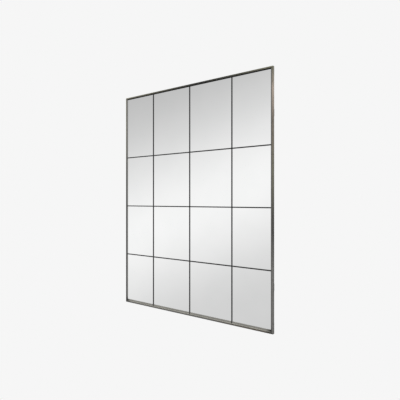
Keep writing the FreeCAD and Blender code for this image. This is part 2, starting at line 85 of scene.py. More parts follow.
class Grain(Enum):
    """The way a member runs, which its brushing and its outer edge follow."""

    LEVEL = "level"
    UPRIGHT = "upright"

    @property
    def along(self) -> int:
        """The coordinate that runs along the member."""
        return 0 if self is Grain.LEVEL else 2

    @property
    def across(self) -> int:
        """The coordinate that runs across the member's face."""
        return 2 if self is Grain.LEVEL else 0


class Easing(Enum):
    """The way a colour ramp runs from stop to stop."""

    STRAIGHT = "LINEAR"
    SOFT = "EASE"


@dataclass(frozen=True)
class Noise:
    """Fractal noise from 0 to 1: features in a metre, octaves and the share that each octave keeps."""

    per_metre: float
    octaves: float = 4.0
    keep: float = 0.55


@dataclass(frozen=True)
class Step:
    """A smooth step from a low to a high result, between two values of what it reads."""

    start: float
    end: float
    low: float = 0.0
    high: float = 1.0

    def times(self, share: float) -> "Step":
        """The same step with a share of its results."""
        return Step(self.start, self.end, self.low * share, self.high * share)


@dataclass(frozen=True)
class Relief:
    """A bump's depth in metres and its strength."""

    depth: float
    strength: float = 0.5


class Graph:
    """Adds and links shader nodes in one node tree."""

    def __init__(self, tree: bpy.types.NodeTree) -> None:
        """Take over a node tree and empty it."""
        self.tree = tree
        tree.nodes.clear()

    def node(self, kind: str, inputs: dict | None = None, **settings: object) -> bpy.types.Node:
        """Add a node.

        Args:
            kind: The node's type.
            inputs: Values or sockets for its inputs, by name or number.
            settings: The node's own properties.

        Returns:
            The new node.
        """
        made = self.tree.nodes.new(kind)
        for name, value in settings.items():
            setattr(made, name, value)
        for key, value in (inputs or {}).items():
            if isinstance(value, bpy.types.NodeSocket):
                self.tree.links.new(value, made.inputs[key])
            else:
                made.inputs[key].default_value = value
        return made

    def place(self) -> Socket:
        """The point on the piece, in metres."""
        return self.node("ShaderNodeTexCoord").outputs["Object"]

    def parts(self, vector: Socket) -> tuple[Socket, Socket, Socket]:
        """A vector's three coordinates."""
        made = self.node("ShaderNodeSeparateXYZ", {"Vector": vector})
        return made.outputs[0], made.outputs[1], made.outputs[2]

    def facing(self) -> tuple[Socket, Socket, Socket]:
        """The surface's own outward direction, as three coordinates."""
        return self.parts(self.node("ShaderNodeNewGeometry").outputs["Normal"])

    def scaled(self, scale: Triple, turn: Triple = (0.0, 0.0, 0.0)) -> Socket:
        """The point on the piece, stretched after a turn.

        Args:
            scale: The stretch along each coordinate.
            turn: The turn about each coordinate, in radians.

        Returns:
            The stretched point.
        """
        turned = self.node("ShaderNodeMapping", {"Vector": self.place(), "Rotation": turn})
        stretch = {"Vector": turned.outputs[0], "Scale": scale}
        return self.node("ShaderNodeMapping", stretch).outputs[0]

    def math(self, operation: str, *values: Value) -> Socket:
        """The result of one sum on up to three values."""
        return self.node("ShaderNodeMath", dict(enumerate(values)), operation=operation).outputs[0]

    def dot(self, vector: Socket, other: Triple) -> Socket:
        """The dot product of a vector and a fixed direction."""
        made = self.node("ShaderNodeVectorMath", {0: vector, 1: other}, operation="DOT_PRODUCT")
        return made.outputs["Value"]

    def length(self, first: Socket, second: Socket) -> Socket:
        """The root of the sum of two squares."""
        squares = [self.math("MULTIPLY", side, side) for side in (first, second)]
        return self.math("SQRT", self.math("ADD", *squares))

    def share(self, value: Value, start: float, end: float) -> Socket:
        """How far a value lies from start to end, from 0 to 1."""
        inputs = {"Value": value, "From Min": start, "From Max": end}
        return self.node("ShaderNodeMapRange", inputs).outputs[0]

    def fade(self, value: Value, step: Step) -> Socket:
        """A value put through a smooth step.

        Args:
            value: What the step reads.
            step: The step.

        Returns:
            The stepped value.
        """
        reads = {"Value": value, "From Min": step.start, "From Max": step.end}
        gives = {"To Min": step.low, "To Max": step.high}
        return self.node("ShaderNodeMapRange", reads | gives, interpolation_type="SMOOTHSTEP").outputs[0]

    def noise(self, vector: Socket, noise: Noise) -> Socket:
        """Fractal noise.

        Args:
            vector: Where the noise is read.
            noise: Its features.

        Returns:
            The noise's value.
        """
        reads = {"Vector": vector, "Scale": noise.per_metre}
        octaves = {"Detail": noise.octaves, "Roughness": noise.keep}
        return self.node("ShaderNodeTexNoise", reads | octaves).outputs[0]

    def cells(self, vector: Socket, per_metre: float) -> bpy.types.Node:
        """A Voronoi pattern with so many cells in a metre."""
        return self.node("ShaderNodeTexVoronoi", {"Vector": vector, "Scale": per_metre})

    def mix(self, share: Value, first: Tint, second: Tint) -> Socket:
        """The first colour, mixed towards the second by a share."""
        ends = [tint if isinstance(tint, bpy.types.NodeSocket) else (*tint, 1.0) for tint in (first, second)]
        return self.node("ShaderNodeMix", {0: share, 6: ends[0], 7: ends[1]}, data_type="RGBA").outputs[2]

    def ramp(self, value: Value, stops: Stops, easing: Easing) -> Socket:
        """A colour ramp.

        Args:
            value: What the ramp reads, from 0 to 1.
            stops: Places and colours, in rising order.
            easing: The way that it runs from stop to stop.

        Returns:
            The colour.
        """
        made = self.node("ShaderNodeValToRGB", {"Fac": value})
        band = made.color_ramp
        band.interpolation = easing.value
        band.elements.remove(band.elements[1])
        band.elements[0].position = stops[0][0]
        band.elements[0].color = (*stops[0][1], 1.0)
        for place, colour in stops[1:]:
            band.elements.new(place).color = (*colour, 1.0)
        return made.outputs[0]

    def bump(self, height: Socket, relief: Relief) -> Socket:
        """The surface's direction with a height map as relief."""
        inputs = {"Height": height, "Distance": relief.depth, "Strength": relief.strength}
        return self.node("ShaderNodeBump", inputs).outputs[0]

    def surface(self, inputs: dict) -> None:
        """Finish the tree with one shader that has these inputs."""
        shader = self.node("ShaderNodeBsdfPrincipled", inputs)
        self.node("ShaderNodeOutputMaterial", {"Surface": shader.outputs[0]})


@dataclass(frozen=True)
class Finish(ABC):
    """A surface finish. Its name is also its material's name."""

    name: str

    @abstractmethod
    def wire(self, graph: Graph) -> None:
        """Add the finish's nodes to a material's graph."""

    def material(self) -> bpy.types.Material:
        """The finish's material, made at its first use.

        Returns:
            The material.
        """
        found = bpy.data.materials.get(self.name)
        if found is None:
            found = bpy.data.materials.new(self.name)
            found.use_nodes = True
            self.wire(Graph(found.node_tree))
        return found


class PatinaAndReflectionTone(Enum):
    """Tones of aged pewter, which along the members also stand for painted reflections and painted shade."""

    CHAMPAGNE = (0.510, 0.420, 0.345)
    UMBER = (0.205, 0.172, 0.138)
    KHAKI = (0.290, 0.278, 0.205)
    OLIVE = (0.180, 0.175, 0.126)
    MOSS = (0.112, 0.112, 0.086)
    ASH = (0.215, 0.212, 0.203)
    SOOT = (0.052, 0.052, 0.051)
    INK = (0.026, 0.026, 0.027)


@dataclass(frozen=True)
class AgedPewter(Finish):
    """Brushed pewter whose colour drifts along a member from its left or lower end: patina, painted
    reflections and shade.

    Faces that look away from the front take the plain tone, from where their outward direction's depth passes
    plain_from. The colour darkens from outer_dark_from of the face's width in from the outer edge to
    outer_dark_to.
    """

    grain: Grain
    drift: tuple[tuple[float, PatinaAndReflectionTone], ...]
    worn: float
    outer_dark: float = 0.0
    outer_dark_from: float = 0.75
    outer_dark_to: float = 0.10
    plain: PatinaAndReflectionTone = PatinaAndReflectionTone.UMBER
    plain_from: float = -0.8
    plain_band: float = 0.4
    rubbed: Colour = (0.62, 0.59, 0.53)
    tarnish: Colour = (0.060, 0.056, 0.048)
    wander: Noise = Noise(7.0, 3.0)
    wander_share: float = 0.12
    brush: Noise = Noise(1.0, 3.0, 0.7)
    brush_along: float = 9.0
    brush_across: float = 520.0
    streaks: Step = Step(0.35, 0.75, 0.0, 0.22)
    blotch: Noise = Noise(60.0, 6.0, 0.62)
    blotch_edge: Step = Step(0.50, 0.72)
    blotch_tint: float = 0.45
    blotch_dullness: float = 0.12
    blotch_relief: float = 0.6
    ragged: Noise = Noise(160.0, 5.0)
    ragged_low: float = -0.6 * MM
    ragged_range: float = 1.6 * MM
    edge: Step = Step(0.5 * MM, 1.6 * MM, 0.35, 0.0)
    mitre: Step = Step(0.10 * MM, 0.35 * MM, 0.9, 0.0)
    roughness: Step = Step(0.2, 0.8, 0.26, 0.42)
    relief: Relief = Relief(0.05 * MM, 0.6)

    @property
    def outer(self) -> float:
        """The distance from the middle of the part to the member's outer face."""
        return HALF_HEIGHT if self.grain is Grain.LEVEL else HALF_WIDTH

    @property
    def end(self) -> float:
        """Half the member's length."""
        return HALF_WIDTH if self.grain is Grain.LEVEL else HALF_HEIGHT

    def outer_darkening(self, graph: Graph) -> Socket:
        """A mask of the outer edge, which fades out across the face.

        Args:
            graph: The material's graph.

        Returns:
            The mask.
        """
        side = graph.math("ABSOLUTE", graph.parts(graph.place())[self.grain.across])
        start, end = (self.outer - share * FACE_WIDTH for share in (self.outer_dark_from, self.outer_dark_to))
        return graph.fade(side, Step(start, end, 0.0, self.outer_dark))

    def edge_wear(self, graph: Graph) -> Socket:
        """A mask of the two front edges, broken up by noise.

        A point's distance from an edge is the root of the sum of the squares of its offsets across the face
        and in depth.

        Args:
            graph: The material's graph.

        Returns:
            The mask.
        """
        point = graph.place()
        coordinates = graph.parts(point)
        side = graph.math("ABSOLUTE", coordinates[self.grain.across])
        depth = graph.math("SUBTRACT", coordinates[1], FRONT_DEPTH)
        offsets = [graph.math("SUBTRACT", side, edge) for edge in (self.outer, self.outer - FACE_WIDTH)]
        nearest = graph.math("MINIMUM", *(graph.length(offset, depth) for offset in offsets))
        ragged = graph.noise(point, self.ragged)
        moved = graph.math("MULTIPLY_ADD", ragged, self.ragged_range, self.ragged_low)
        return graph.fade(graph.math("ADD", nearest, moved), self.edge.times(self.worn))

    def mitre_line(self, graph: Graph) -> Socket:
        """A mask of the hairline where two members meet on the diagonal of a corner.

        Args:
            graph: The material's graph.

        Returns:
            The mask.
        """
        x, _, z = graph.parts(graph.place())
        from_side = graph.math("SUBTRACT", graph.math("ABSOLUTE", x), HALF_WIDTH)
        from_top = graph.math("SUBTRACT", graph.math("ABSOLUTE", z), HALF_HEIGHT)
        off = graph.math("ABSOLUTE", graph.math("SUBTRACT", from_side, from_top))
        return graph.fade(off, self.mitre)

    def tone_with_painted_reflections(self, graph: Graph) -> Socket:
        """The drifting tone, patina with painted reflections and shade, moved about by slow noise, and the
        plain tone on faces that turn away.

        Args:
            graph: The material's graph.

        Returns:
            The colour.
        """
        point = graph.place()
        share = graph.share(graph.parts(point)[self.grain.along], -self.end, self.end)
        wander = graph.math("SUBTRACT", graph.noise(point, self.wander), 0.5)
        moved = graph.math("MULTIPLY_ADD", wander, self.wander_share, share)
        tone = graph.ramp(moved, [(at, tone.value) for at, tone in self.drift], Easing.STRAIGHT)
        away = graph.fade(graph.facing()[1], Step(self.plain_from, self.plain_from + self.plain_band))
        return graph.mix(away, tone, self.plain.value)

    def brushing(self, graph: Graph) -> Socket:
        """Fine noise drawn out along the member.

        Args:
            graph: The material's graph.

        Returns:
            The noise's value.
        """
        stretch = [self.brush_across] * 3
        stretch[self.grain.along] = self.brush_along
        return graph.noise(graph.scaled(tuple(stretch)), self.brush)

    def wire(self, graph: Graph) -> None:
        """Drifting patina and painted reflections with tarnish blotches, brushing, rubbed edges, outer
        darkening and mitre lines.

        Args:
            graph: The material's graph.
        """
        brushing = self.brushing(graph)
        blotches = graph.fade(graph.noise(graph.place(), self.blotch), self.blotch_edge)
        blotched = graph.math("MULTIPLY", blotches, self.blotch_tint)
        # the member's tone: patina with painted reflections and painted shade
        colour = graph.mix(blotched, self.tone_with_painted_reflections(graph), self.tarnish)
        colour = graph.mix(graph.fade(brushing, self.streaks.times(self.worn)), colour, self.rubbed)
        colour = graph.mix(self.edge_wear(graph), colour, self.rubbed)
        # darker towards the outer edge
        colour = graph.mix(self.outer_darkening(graph), colour, self.tarnish)
        colour = graph.mix(self.mitre_line(graph), colour, self.tarnish)
        sheen = graph.fade(brushing, self.roughness)
        relief = graph.math("MULTIPLY_ADD", blotches, self.blotch_relief, brushing)
        graph.surface({
            "Base Color": colour,
            "Metallic": 1.0,
            "Roughness": graph.math("MULTIPLY_ADD", blotches, self.blotch_dullness, sheen),
            "Normal": graph.bump(relief, self.relief),
        })


@dataclass(frozen=True)
class SatinPaint(Finish):
    """Satin metal paint: paler on faces that look up with dust and painted light, with painted shade on faces
    that look down.
    """

    base: Colour
    dusted_and_lit: Colour
    shaded: Colour
    gloss: float
    peel: Noise = Noise(1400.0, 2.0)
    speckle: Noise = Noise(420.0, 3.0, 0.7)
    speckle_edge: Step = Step(0.45, 0.75, 0.0, 0.10)
    patches: Noise = Noise(11.0, 3.0)
    patch_edge: Step = Step(0.2, 0.7, 0.7, 1.0)
    looks_up: Step = Step(0.12, 0.45)
    looks_down: Step = Step(-0.12, -0.40)
    roughness: Step = Step(0.2, 0.8, 0.38, 0.52)
    relief: Relief = Relief(0.03 * MM)

    def colour(self, graph: Graph, speckle: Socket) -> Socket:
        """The paint with its speckle, with dust and painted light on faces that look up and painted shade on
        faces that look down.

        Args:
            graph: The material's graph.
            speckle: The speckle's noise.

        Returns:
            The colour.
        """
        up = graph.facing()[2]
        patches = graph.fade(graph.noise(graph.place(), self.patches), self.patch_edge)
        # dust and painted light from above on faces that look up
        dust_and_light = graph.math("MULTIPLY", graph.fade(up, self.looks_up), patches)
        speckled = graph.mix(graph.fade(speckle, self.speckle_edge), self.base, self.dusted_and_lit)
        dusty_and_lit = graph.mix(dust_and_light, speckled, self.dusted_and_lit)
        # painted shade on faces that look down
        return graph.mix(graph.fade(up, self.looks_down), dusty_and_lit, self.shaded)

    def wire(self, graph: Graph) -> None:
        """The paint's colour, with fine speckle and orange peel.

        Args:
            graph: The material's graph.
        """
        point = graph.place()
        speckle = graph.noise(point, self.speckle)
        graph.surface({
            "Base Color": self.colour(graph, speckle),
            "Roughness": graph.fade(speckle, self.roughness),
            "Specular IOR Level": self.gloss,
            "Normal": graph.bump(graph.noise(point, self.peel), self.relief),
        })


@dataclass(frozen=True)
class CornerShadedPaint(SatinPaint):
    """Satin paint with painted shade in the frame's two lower corners, where the sill bar meets the side
    beads.
    """

    sill: str = "level_bar_sill"
    corner_shade: Colour = (0.004, 0.004, 0.004)
    corner_shade_fade: Step = Step(25.0 * MM, -15.0 * MM, 0.0, 0.95)
    ragged: Noise = Noise(260.0, 5.0, 0.65)
    ragged_length: float = 20.0 * MM

    def colour(self, graph: Graph, speckle: Socket) -> Socket:
        """The paint's colour under painted corner shade that thins out from the corners, with a ragged edge.

        A point's distance from a corner is the root of the sum of the squares of its offsets aside and
        upwards.

        Args:
            graph: The material's graph.
            speckle: The speckle's noise.

        Returns:
            The colour.
        """
        low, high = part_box(self.sill)
        point = graph.place()
        x, _, z = graph.parts(point)
        aside = graph.math("SUBTRACT", graph.math("ABSOLUTE", x), high.x)
        upwards = graph.math("SUBTRACT", z, (low.z + high.z) / 2.0)
        distance = graph.length(aside, upwards)
        moved = graph.math("MULTIPLY_ADD", graph.noise(point, self.ragged), -self.ragged_length, distance)
        # painted shade in the lower corners, thinning out with a ragged edge
        return graph.mix(graph.fade(moved, self.corner_shade_fade), super().colour(graph, speckle), self.corner_shade)


@dataclass(frozen=True)
class SilveredGlass(Finish):
    """Silvered float glass, faintly green and never perfectly even."""

    silver: Colour = (0.945, 0.947, 0.946)
    clouded: Colour = (0.925, 0.930, 0.928)
    haze: Noise = Noise(5.0, 4.0)
    haze_edge: Step = Step(0.3, 0.7)
    roughness: Step = Step(0.3, 0.7, 0.012, 0.022)
    ripple: Noise = Noise(1.6, 1.0)
    relief: Relief = Relief(0.08 * MM)

    def wire(self, graph: Graph) -> None:
        """A mirror with a slow float ripple and a breath of haze.

        Args:
            graph: The material's graph.
        """
        point = graph.place()
        haze = graph.noise(point, self.haze)
        graph.surface({
            "Base Color": graph.mix(graph.fade(haze, self.haze_edge), self.silver, self.clouded),
            "Metallic": 1.0,
            "Roughness": graph.fade(haze, self.roughness),
            "Normal": graph.bump(graph.noise(point, self.ripple), self.relief),
        })


@dataclass(frozen=True)
class Fibreboard(Finish):
    """Sealed hardboard: pressed brown fibre with pale and dark flecks that lie at angles in radians."""

    base: Colour = (0.250, 0.156, 0.090)
    pale: Colour = (0.345, 0.232, 0.143)
    dark: Colour = (0.120, 0.070, 0.040)
    pale_turns: tuple[float, ...] = (0.1, -1.5, 1.2)
    dark_turns: tuple[float, ...] = (0.6, -0.8, 2.1)
    pale_edge: Step = Step(0.52, 0.70, 0.0, 0.60)
    dark_edge: Step = Step(0.54, 0.72, 0.0, 0.60)
    fibre: Noise = Noise(1.0, 4.0, 0.65)
    fibre_stretch: Triple = (95.0, 95.0, 760.0)
    mottle: Noise = Noise(16.0, 5.0, 0.6)
    mottle_edge: Step = Step(0.25, 0.80, 0.0, 0.45)
    grit: Noise = Noise(1300.0, 3.0, 0.7)
    roughness: Step = Step(0.3, 0.7, 0.58, 0.72)
    relief: Relief = Relief(0.10 * MM)

    def fibres(self, graph: Graph, turns: Iterable[float]) -> Socket:
        """The highest of several noises, each drawn out along the board at its own angle.

        Args:
            graph: The material's graph.
            turns: The angles.

        Returns:
            The highest value.
        """
        lays = [graph.scaled(self.fibre_stretch, (0.0, turn, 0.0)) for turn in turns]
        return reduce(partial(graph.math, "MAXIMUM"), [graph.noise(lay, self.fibre) for lay in lays])

    def wire(self, graph: Graph) -> None:
        """Faint slow mottling, pale and dark fibre flecks and a press grain.

        Args:
            graph: The material's graph.
        """
        point = graph.place()
        mottle = graph.noise(point, self.mottle)
        pale_flecks = self.fibres(graph, self.pale_turns)
        dark_flecks = self.fibres(graph, self.dark_turns)
        colour = graph.mix(graph.fade(mottle, self.mottle_edge), self.base, self.pale)
        colour = graph.mix(graph.fade(pale_flecks, self.pale_edge), colour, self.pale)
        colour = graph.mix(graph.fade(dark_flecks, self.dark_edge), colour, self.dark)
        flecks = graph.math("ADD", dark_flecks, pale_flecks)
        relief = graph.math("ADD", flecks, graph.noise(point, self.grit))
        graph.surface({
            "Base Color": colour,
            "Roughness": graph.fade(mottle, self.roughness),
            "Normal": graph.bump(relief, self.relief),
        })


@dataclass(frozen=True)
class BlackPaint(Finish):
    """Satin black steel paint with a light orange peel and rubbed spots."""

    base: Colour = (0.018, 0.018, 0.019)
    worn: Colour = (0.065, 0.063, 0.060)
    rubs: Noise = Noise(1.0, 4.0, 0.6)
    rub_stretch: Triple = (14.0, 400.0, 400.0)
    rub_edge: Step = Step(0.55, 0.78, 0.0, 0.8)
    dull: Noise = Noise(22.0, 4.0)
    roughness: Step = Step(0.3, 0.7, 0.30, 0.46)
    peel: Noise = Noise(700.0, 2.0)
    relief: Relief = Relief(0.05 * MM)

    def wire(self, graph: Graph) -> None:
        """Orange peel, long faint rubs along the rail and dull patches.

        Args:
            graph: The material's graph.
        """
        point = graph.place()
        rubs = graph.noise(graph.scaled(self.rub_stretch), self.rubs)
        graph.surface({
            "Base Color": graph.mix(graph.fade(rubs, self.rub_edge), self.base, self.worn),
            "Roughness": graph.fade(graph.noise(point, self.dull), self.roughness),
            "Normal": graph.bump(graph.noise(point, self.peel), self.relief),
        })


@dataclass(frozen=True)
class ZincPlate(Finish):
    """Bright zinc plate: faint warm and cool passivation, spangle and fine tumbling marks."""

    cool: Colour = (0.560, 0.575, 0.590)
    warm: Colour = (0.600, 0.565, 0.480)
    dull: Colour = (0.330, 0.330, 0.325)
    drift: Noise = Noise(45.0, 3.0)
    drift_edge: Step = Step(0.35, 0.65)
    spangle_per_metre: float = 420.0
    spangle_tint: float = 0.30
    spangle_dullness: float = 0.10
    marks: Noise = Noise(800.0, 4.0, 0.7)
    roughness: Step = Step(0.2, 0.8, 0.20, 0.34)
    relief: Relief = Relief(0.02 * MM)

    def wire(self, graph: Graph) -> None:
        """Slow colour drift, spangle cells and tumbling marks.

        Args:
            graph: The material's graph.
        """
        point = graph.place()
        marks = graph.noise(point, self.marks)
        flake = graph.parts(graph.cells(point, self.spangle_per_metre).outputs["Color"])[0]
        drift = graph.fade(graph.noise(point, self.drift), self.drift_edge)
        colour = graph.mix(drift, self.cool, self.warm)
        sheen = graph.fade(marks, self.roughness)
        graph.surface({
            "Base Color": graph.mix(graph.math("MULTIPLY", flake, self.spangle_tint), colour, self.dull),
            "Metallic": 1.0,
            "Roughness": graph.math("MULTIPLY_ADD", flake, self.spangle_dullness, sheen),
            "Normal": graph.bump(marks, self.relief),
        })


@dataclass(frozen=True)
class Rubber(Finish):
    """Moulded black rubber, greyed by a little bloom."""

    base: Colour = (0.020, 0.020, 0.020)
    bloom: Colour = (0.060, 0.058, 0.056)
    patches: Noise = Noise(130.0, 4.0)
    patch_edge: Step = Step(0.4, 0.75)
    roughness: Step = Step(0.3, 0.7, 0.62, 0.80)
    mould_grain: Noise = Noise(1800.0, 3.0, 0.6)
    relief: Relief = Relief(0.06 * MM, 0.6)

    def wire(self, graph: Graph) -> None:
        """Mould grain and patchy bloom.

        Args:
            graph: The material's graph.
        """
        point = graph.place()
        patches = graph.noise(point, self.patches)
        graph.surface({
            "Base Color": graph.mix(graph.fade(patches, self.patch_edge), self.base, self.bloom),
            "Roughness": graph.fade(patches, self.roughness),
            "Normal": graph.bump(graph.noise(point, self.mould_grain), self.relief),
        })


@dataclass(frozen=True)
class Foam(Finish):
    """Closed-cell foam tape."""

    wall: Colour = (0.700, 0.690, 0.650)
    pore: Colour = (0.420, 0.410, 0.380)
    cells_per_metre: float = 1600.0
    wall_edge: Step = Step(0.15, 0.60)
    roughness: Step = Step(0.1, 0.6, 0.95, 0.80)
    relief: Relief = Relief(0.20 * MM, 0.6)

    def wire(self, graph: Graph) -> None:
        """Round cells a little over half a millimetre across.

        Args:
            graph: The material's graph.
        """
        cells = graph.cells(graph.place(), self.cells_per_metre).outputs["Distance"]
        graph.surface({
            "Base Color": graph.mix(graph.fade(cells, self.wall_edge), self.pore, self.wall),
            "Roughness": graph.fade(cells, self.roughness),
            "Normal": graph.bump(cells, self.relief),
        })


# Four copies of one pewter, one for each member: each drift paints the light and dark reflections that member
# shows, over its patina.
PEWTER_TOP = AgedPewter(
    "aged_pewter_top",
    Grain.LEVEL,
    (
        (0.00, PatinaAndReflectionTone.KHAKI),
        (0.38, PatinaAndReflectionTone.MOSS),
        (0.58, PatinaAndReflectionTone.SOOT),
        (0.80, PatinaAndReflectionTone.MOSS),
        (1.00, PatinaAndReflectionTone.KHAKI),
    ),
    worn=0.12,
)
PEWTER_BOTTOM = AgedPewter(
    "aged_pewter_bottom",
    Grain.LEVEL,
    (
        (0.00, PatinaAndReflectionTone.SOOT),
        (0.05, PatinaAndReflectionTone.ASH),
        (0.60, PatinaAndReflectionTone.ASH),
        (0.92, PatinaAndReflectionTone.UMBER),
        (0.99, PatinaAndReflectionTone.SOOT),
    ),
    worn=0.4,
    outer_dark=1.0,
)
PEWTER_LEFT = AgedPewter(
    "aged_pewter_left",
    Grain.UPRIGHT,
    (
        (0.00, PatinaAndReflectionTone.INK),
        (0.52, PatinaAndReflectionTone.INK),
        (0.70, PatinaAndReflectionTone.MOSS),
        (0.84, PatinaAndReflectionTone.KHAKI),
    ),
    worn=0.05,
    outer_dark=0.5,
)
PEWTER_RIGHT = AgedPewter(
    "aged_pewter_right",
    Grain.UPRIGHT,
    (
        (0.00, PatinaAndReflectionTone.ASH),
        (0.22, PatinaAndReflectionTone.ASH),
        (0.40, PatinaAndReflectionTone.SOOT),
        (0.62, PatinaAndReflectionTone.OLIVE),
        (0.80, PatinaAndReflectionTone.UMBER),
        (0.92, PatinaAndReflectionTone.CHAMPAGNE),
        (0.99, PatinaAndReflectionTone.OLIVE),
    ),
    worn=0.7,
    plain_from=0.4,
)
BAR_GREY = SatinPaint(
    "bar_grey",
    base=(0.018, 0.018, 0.018),
    dusted_and_lit=(0.036, 0.035, 0.032),
    shaded=(0.008, 0.008, 0.008),
    gloss=0.2,
)
# The bead paint: its shaded tone is painted shade that turns the top bead near black, and its dusted tone
# paints light on the bottom bead.
BEAD_GREY = CornerShadedPaint(
    "bead_grey",
    base=(0.080, 0.080, 0.077),
    dusted_and_lit=(0.360, 0.350, 0.310),
    shaded=(0.003, 0.003, 0.003),
    gloss=0.15,
)
# A lighter copy of the bead paint for the left bead: painted light where it faces the light.
BEAD_GREY_LIT = CornerShadedPaint(
    "bead_grey_lit",
    base=(0.165, 0.162, 0.153),
    dusted_and_lit=(0.200, 0.196, 0.180),
    shaded=(0.090, 0.088, 0.082),
    gloss=0.3,
)
SILL_GREY = CornerShadedPaint(
    "sill_grey",
    base=(0.215, 0.210, 0.192),
    dusted_and_lit=(0.290, 0.280, 0.250),
    shaded=(0.060, 0.058, 0.052),
    gloss=0.3,
)
SILVERED_GLASS = SilveredGlass("silvered_glass")
FIBREBOARD = Fibreboard("sealed_fibreboard")
BLACK_PAINT = BlackPaint("satin_black_paint")
ZINC_PLATE = ZincPlate("zinc_plate")
RUBBER = Rubber("moulded_rubber")
FOAM = Foam("foam_tape")


def wound_quads(rows: int, columns: int, closed_rows: bool) -> np.ndarray:
    """Corner numbers of the quads of a grid whose columns close on themselves.

    Quad (i, j) joins grid points (i, j), (i, j+1), (i+1, j+1) and (i+1, j).

    Args:
        rows: Rows of points.
        columns: Points in a row.
        closed_rows: Whether the last row joins the first.

    Returns:
        One row of four numbers for each quad.
    """
    i = np.arange(rows if closed_rows else rows - 1)[:, None]
    j = np.arange(columns)[None, :]
    after, beside = (i + 1) % rows, (j + 1) % columns
    numbers = (i * columns + j, i * columns + beside, after * columns + beside, after * columns + j)
    return np.stack(np.broadcast_arrays(*numbers), axis=-1).reshape(-1, 4)


def outward(points: np.ndarray, quads: np.ndarray) -> bool:
    """Whether a closed skin of quads, with flat caps or none, faces outwards.

    The sum of the quads' cone volumes from the skin's middle is positive if they wind outwards.

    Args:
        points: The skin's points.
        quads: The corner numbers of its quads.

    Returns:
        True if it faces outwards.
    """
    p = (points - points.mean(axis=0))[quads]
    cones = np.einsum("ij,ij->i", p[:, 0], np.cross(p[:, 1], p[:, 2]) + np.cross(p[:, 2], p[:, 3]))
    return float(cones.sum()) > 0.0


def skin(name: str, grid: np.ndarray, closed_rows: bool) -> bpy.types.Object:
    """A piece made from a grid of points, with smooth shading up to a sharp angle.

    Args:
        name: The piece's name.
        grid: Points, rows by columns by 3. Columns close on themselves.
        closed_rows: Whether the last row joins the first. If not, the first and last rows get flat caps.

    Returns:
        The new object, at the origin.
    """
    rows, columns = grid.shape[:2]
    quads = wound_quads(rows, columns, closed_rows)
    points = grid.reshape(-1, 3)
    if not outward(points, quads):
        points = grid[:, ::-1].reshape(-1, 3)
    faces = quads.tolist()
    if not closed_rows:
        ring = np.arange(columns)
        faces += [ring[::-1].tolist(), (ring + (rows - 1) * columns).tolist()]
    mesh = bpy.data.meshes.new(name)
    mesh.from_pydata(points.tolist(), [], faces)
    mesh.polygons.foreach_set("use_smooth", np.ones(len(faces), dtype=bool))
    mesh.set_sharp_from_angle(angle=SHARP_ANGLE)
    mesh.update()
    made = bpy.data.objects.new(name, mesh)
    bpy.context.scene.collection.objects.link(made)
    return made


def stand_for(piece: bpy.types.Object, node: str, body: str, finish: Finish) -> bpy.types.Object:
    """Let a new piece take a CAD node's place.

    Args:
        piece: The new piece.
        node: The node that it stands for.
        body: The body that it moves with.
        finish: Its finish.

    Returns:
        The piece.
    """
    piece.data.materials.append(finish.material())
    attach(piece, body)
    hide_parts(node)
    return piece


def paint(names: Iterable[str], finish: Finish) -> Pieces:
    """Give CAD nodes a finish.

    Args:
        names: The nodes' names.
        finish: Their finish.

    Returns:
        The nodes' objects.
    """
    painted = [frame["nodes"][name] for name in names]
    for piece in painted:
        piece.data.materials.clear()
        piece.data.materials.append(finish.material())
    return painted


def named(*starts: str) -> list[str]:
    """The CAD nodes whose names have one of these starts."""
    return sorted(name for name in frame["nodes"] if name.startswith(starts))


def pivot(joint: str) -> np.ndarray:
    """The place of a joint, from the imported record."""
    return next(np.array(j["pos_m"], dtype=float) for j in frame["joints"] if j["name"] == joint)


def corners(node: str) -> tuple[np.ndarray, np.ndarray]:
    """The lowest and highest corners of a CAD node's box."""
    low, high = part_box(node)
    return np.array(low), np.array(high)


class SubAssembly(ABC):
    """Pieces that are built and dressed together."""

    @abstractmethod
    def build(self) -> Pieces:
        """Make the new pieces and return them."""

    @abstractmethod
    def dress(self) -> Pieces:
        """Give the CAD nodes that stay their finishes and return them."""


@dataclass
class OuterFrame(SubAssembly):
    """The four mitred members and the sloped beads that hold the glass."""

    finishes: tuple[tuple[str, Finish], ...] = (
        ("frame_top_rail", PEWTER_TOP),
        ("frame_bottom_rail", PEWTER_BOTTOM),
        ("frame_left_stile", PEWTER_LEFT),
        ("frame_right_stile", PEWTER_RIGHT),
        ("bead_top", BEAD_GREY),
        ("bead_bottom", BEAD_GREY),
        # the left bead takes the lighter copy, painted light
        ("bead_left", BEAD_GREY_LIT),
        ("bead_right", BEAD_GREY),
    )

    def build(self) -> Pieces:
        """The members' own shapes stay."""
        return []

    def dress(self) -> Pieces:
        """Pewter on the members, satin paint on the beads."""
        return [piece for name, finish in self.finishes for piece in paint([name], finish)]


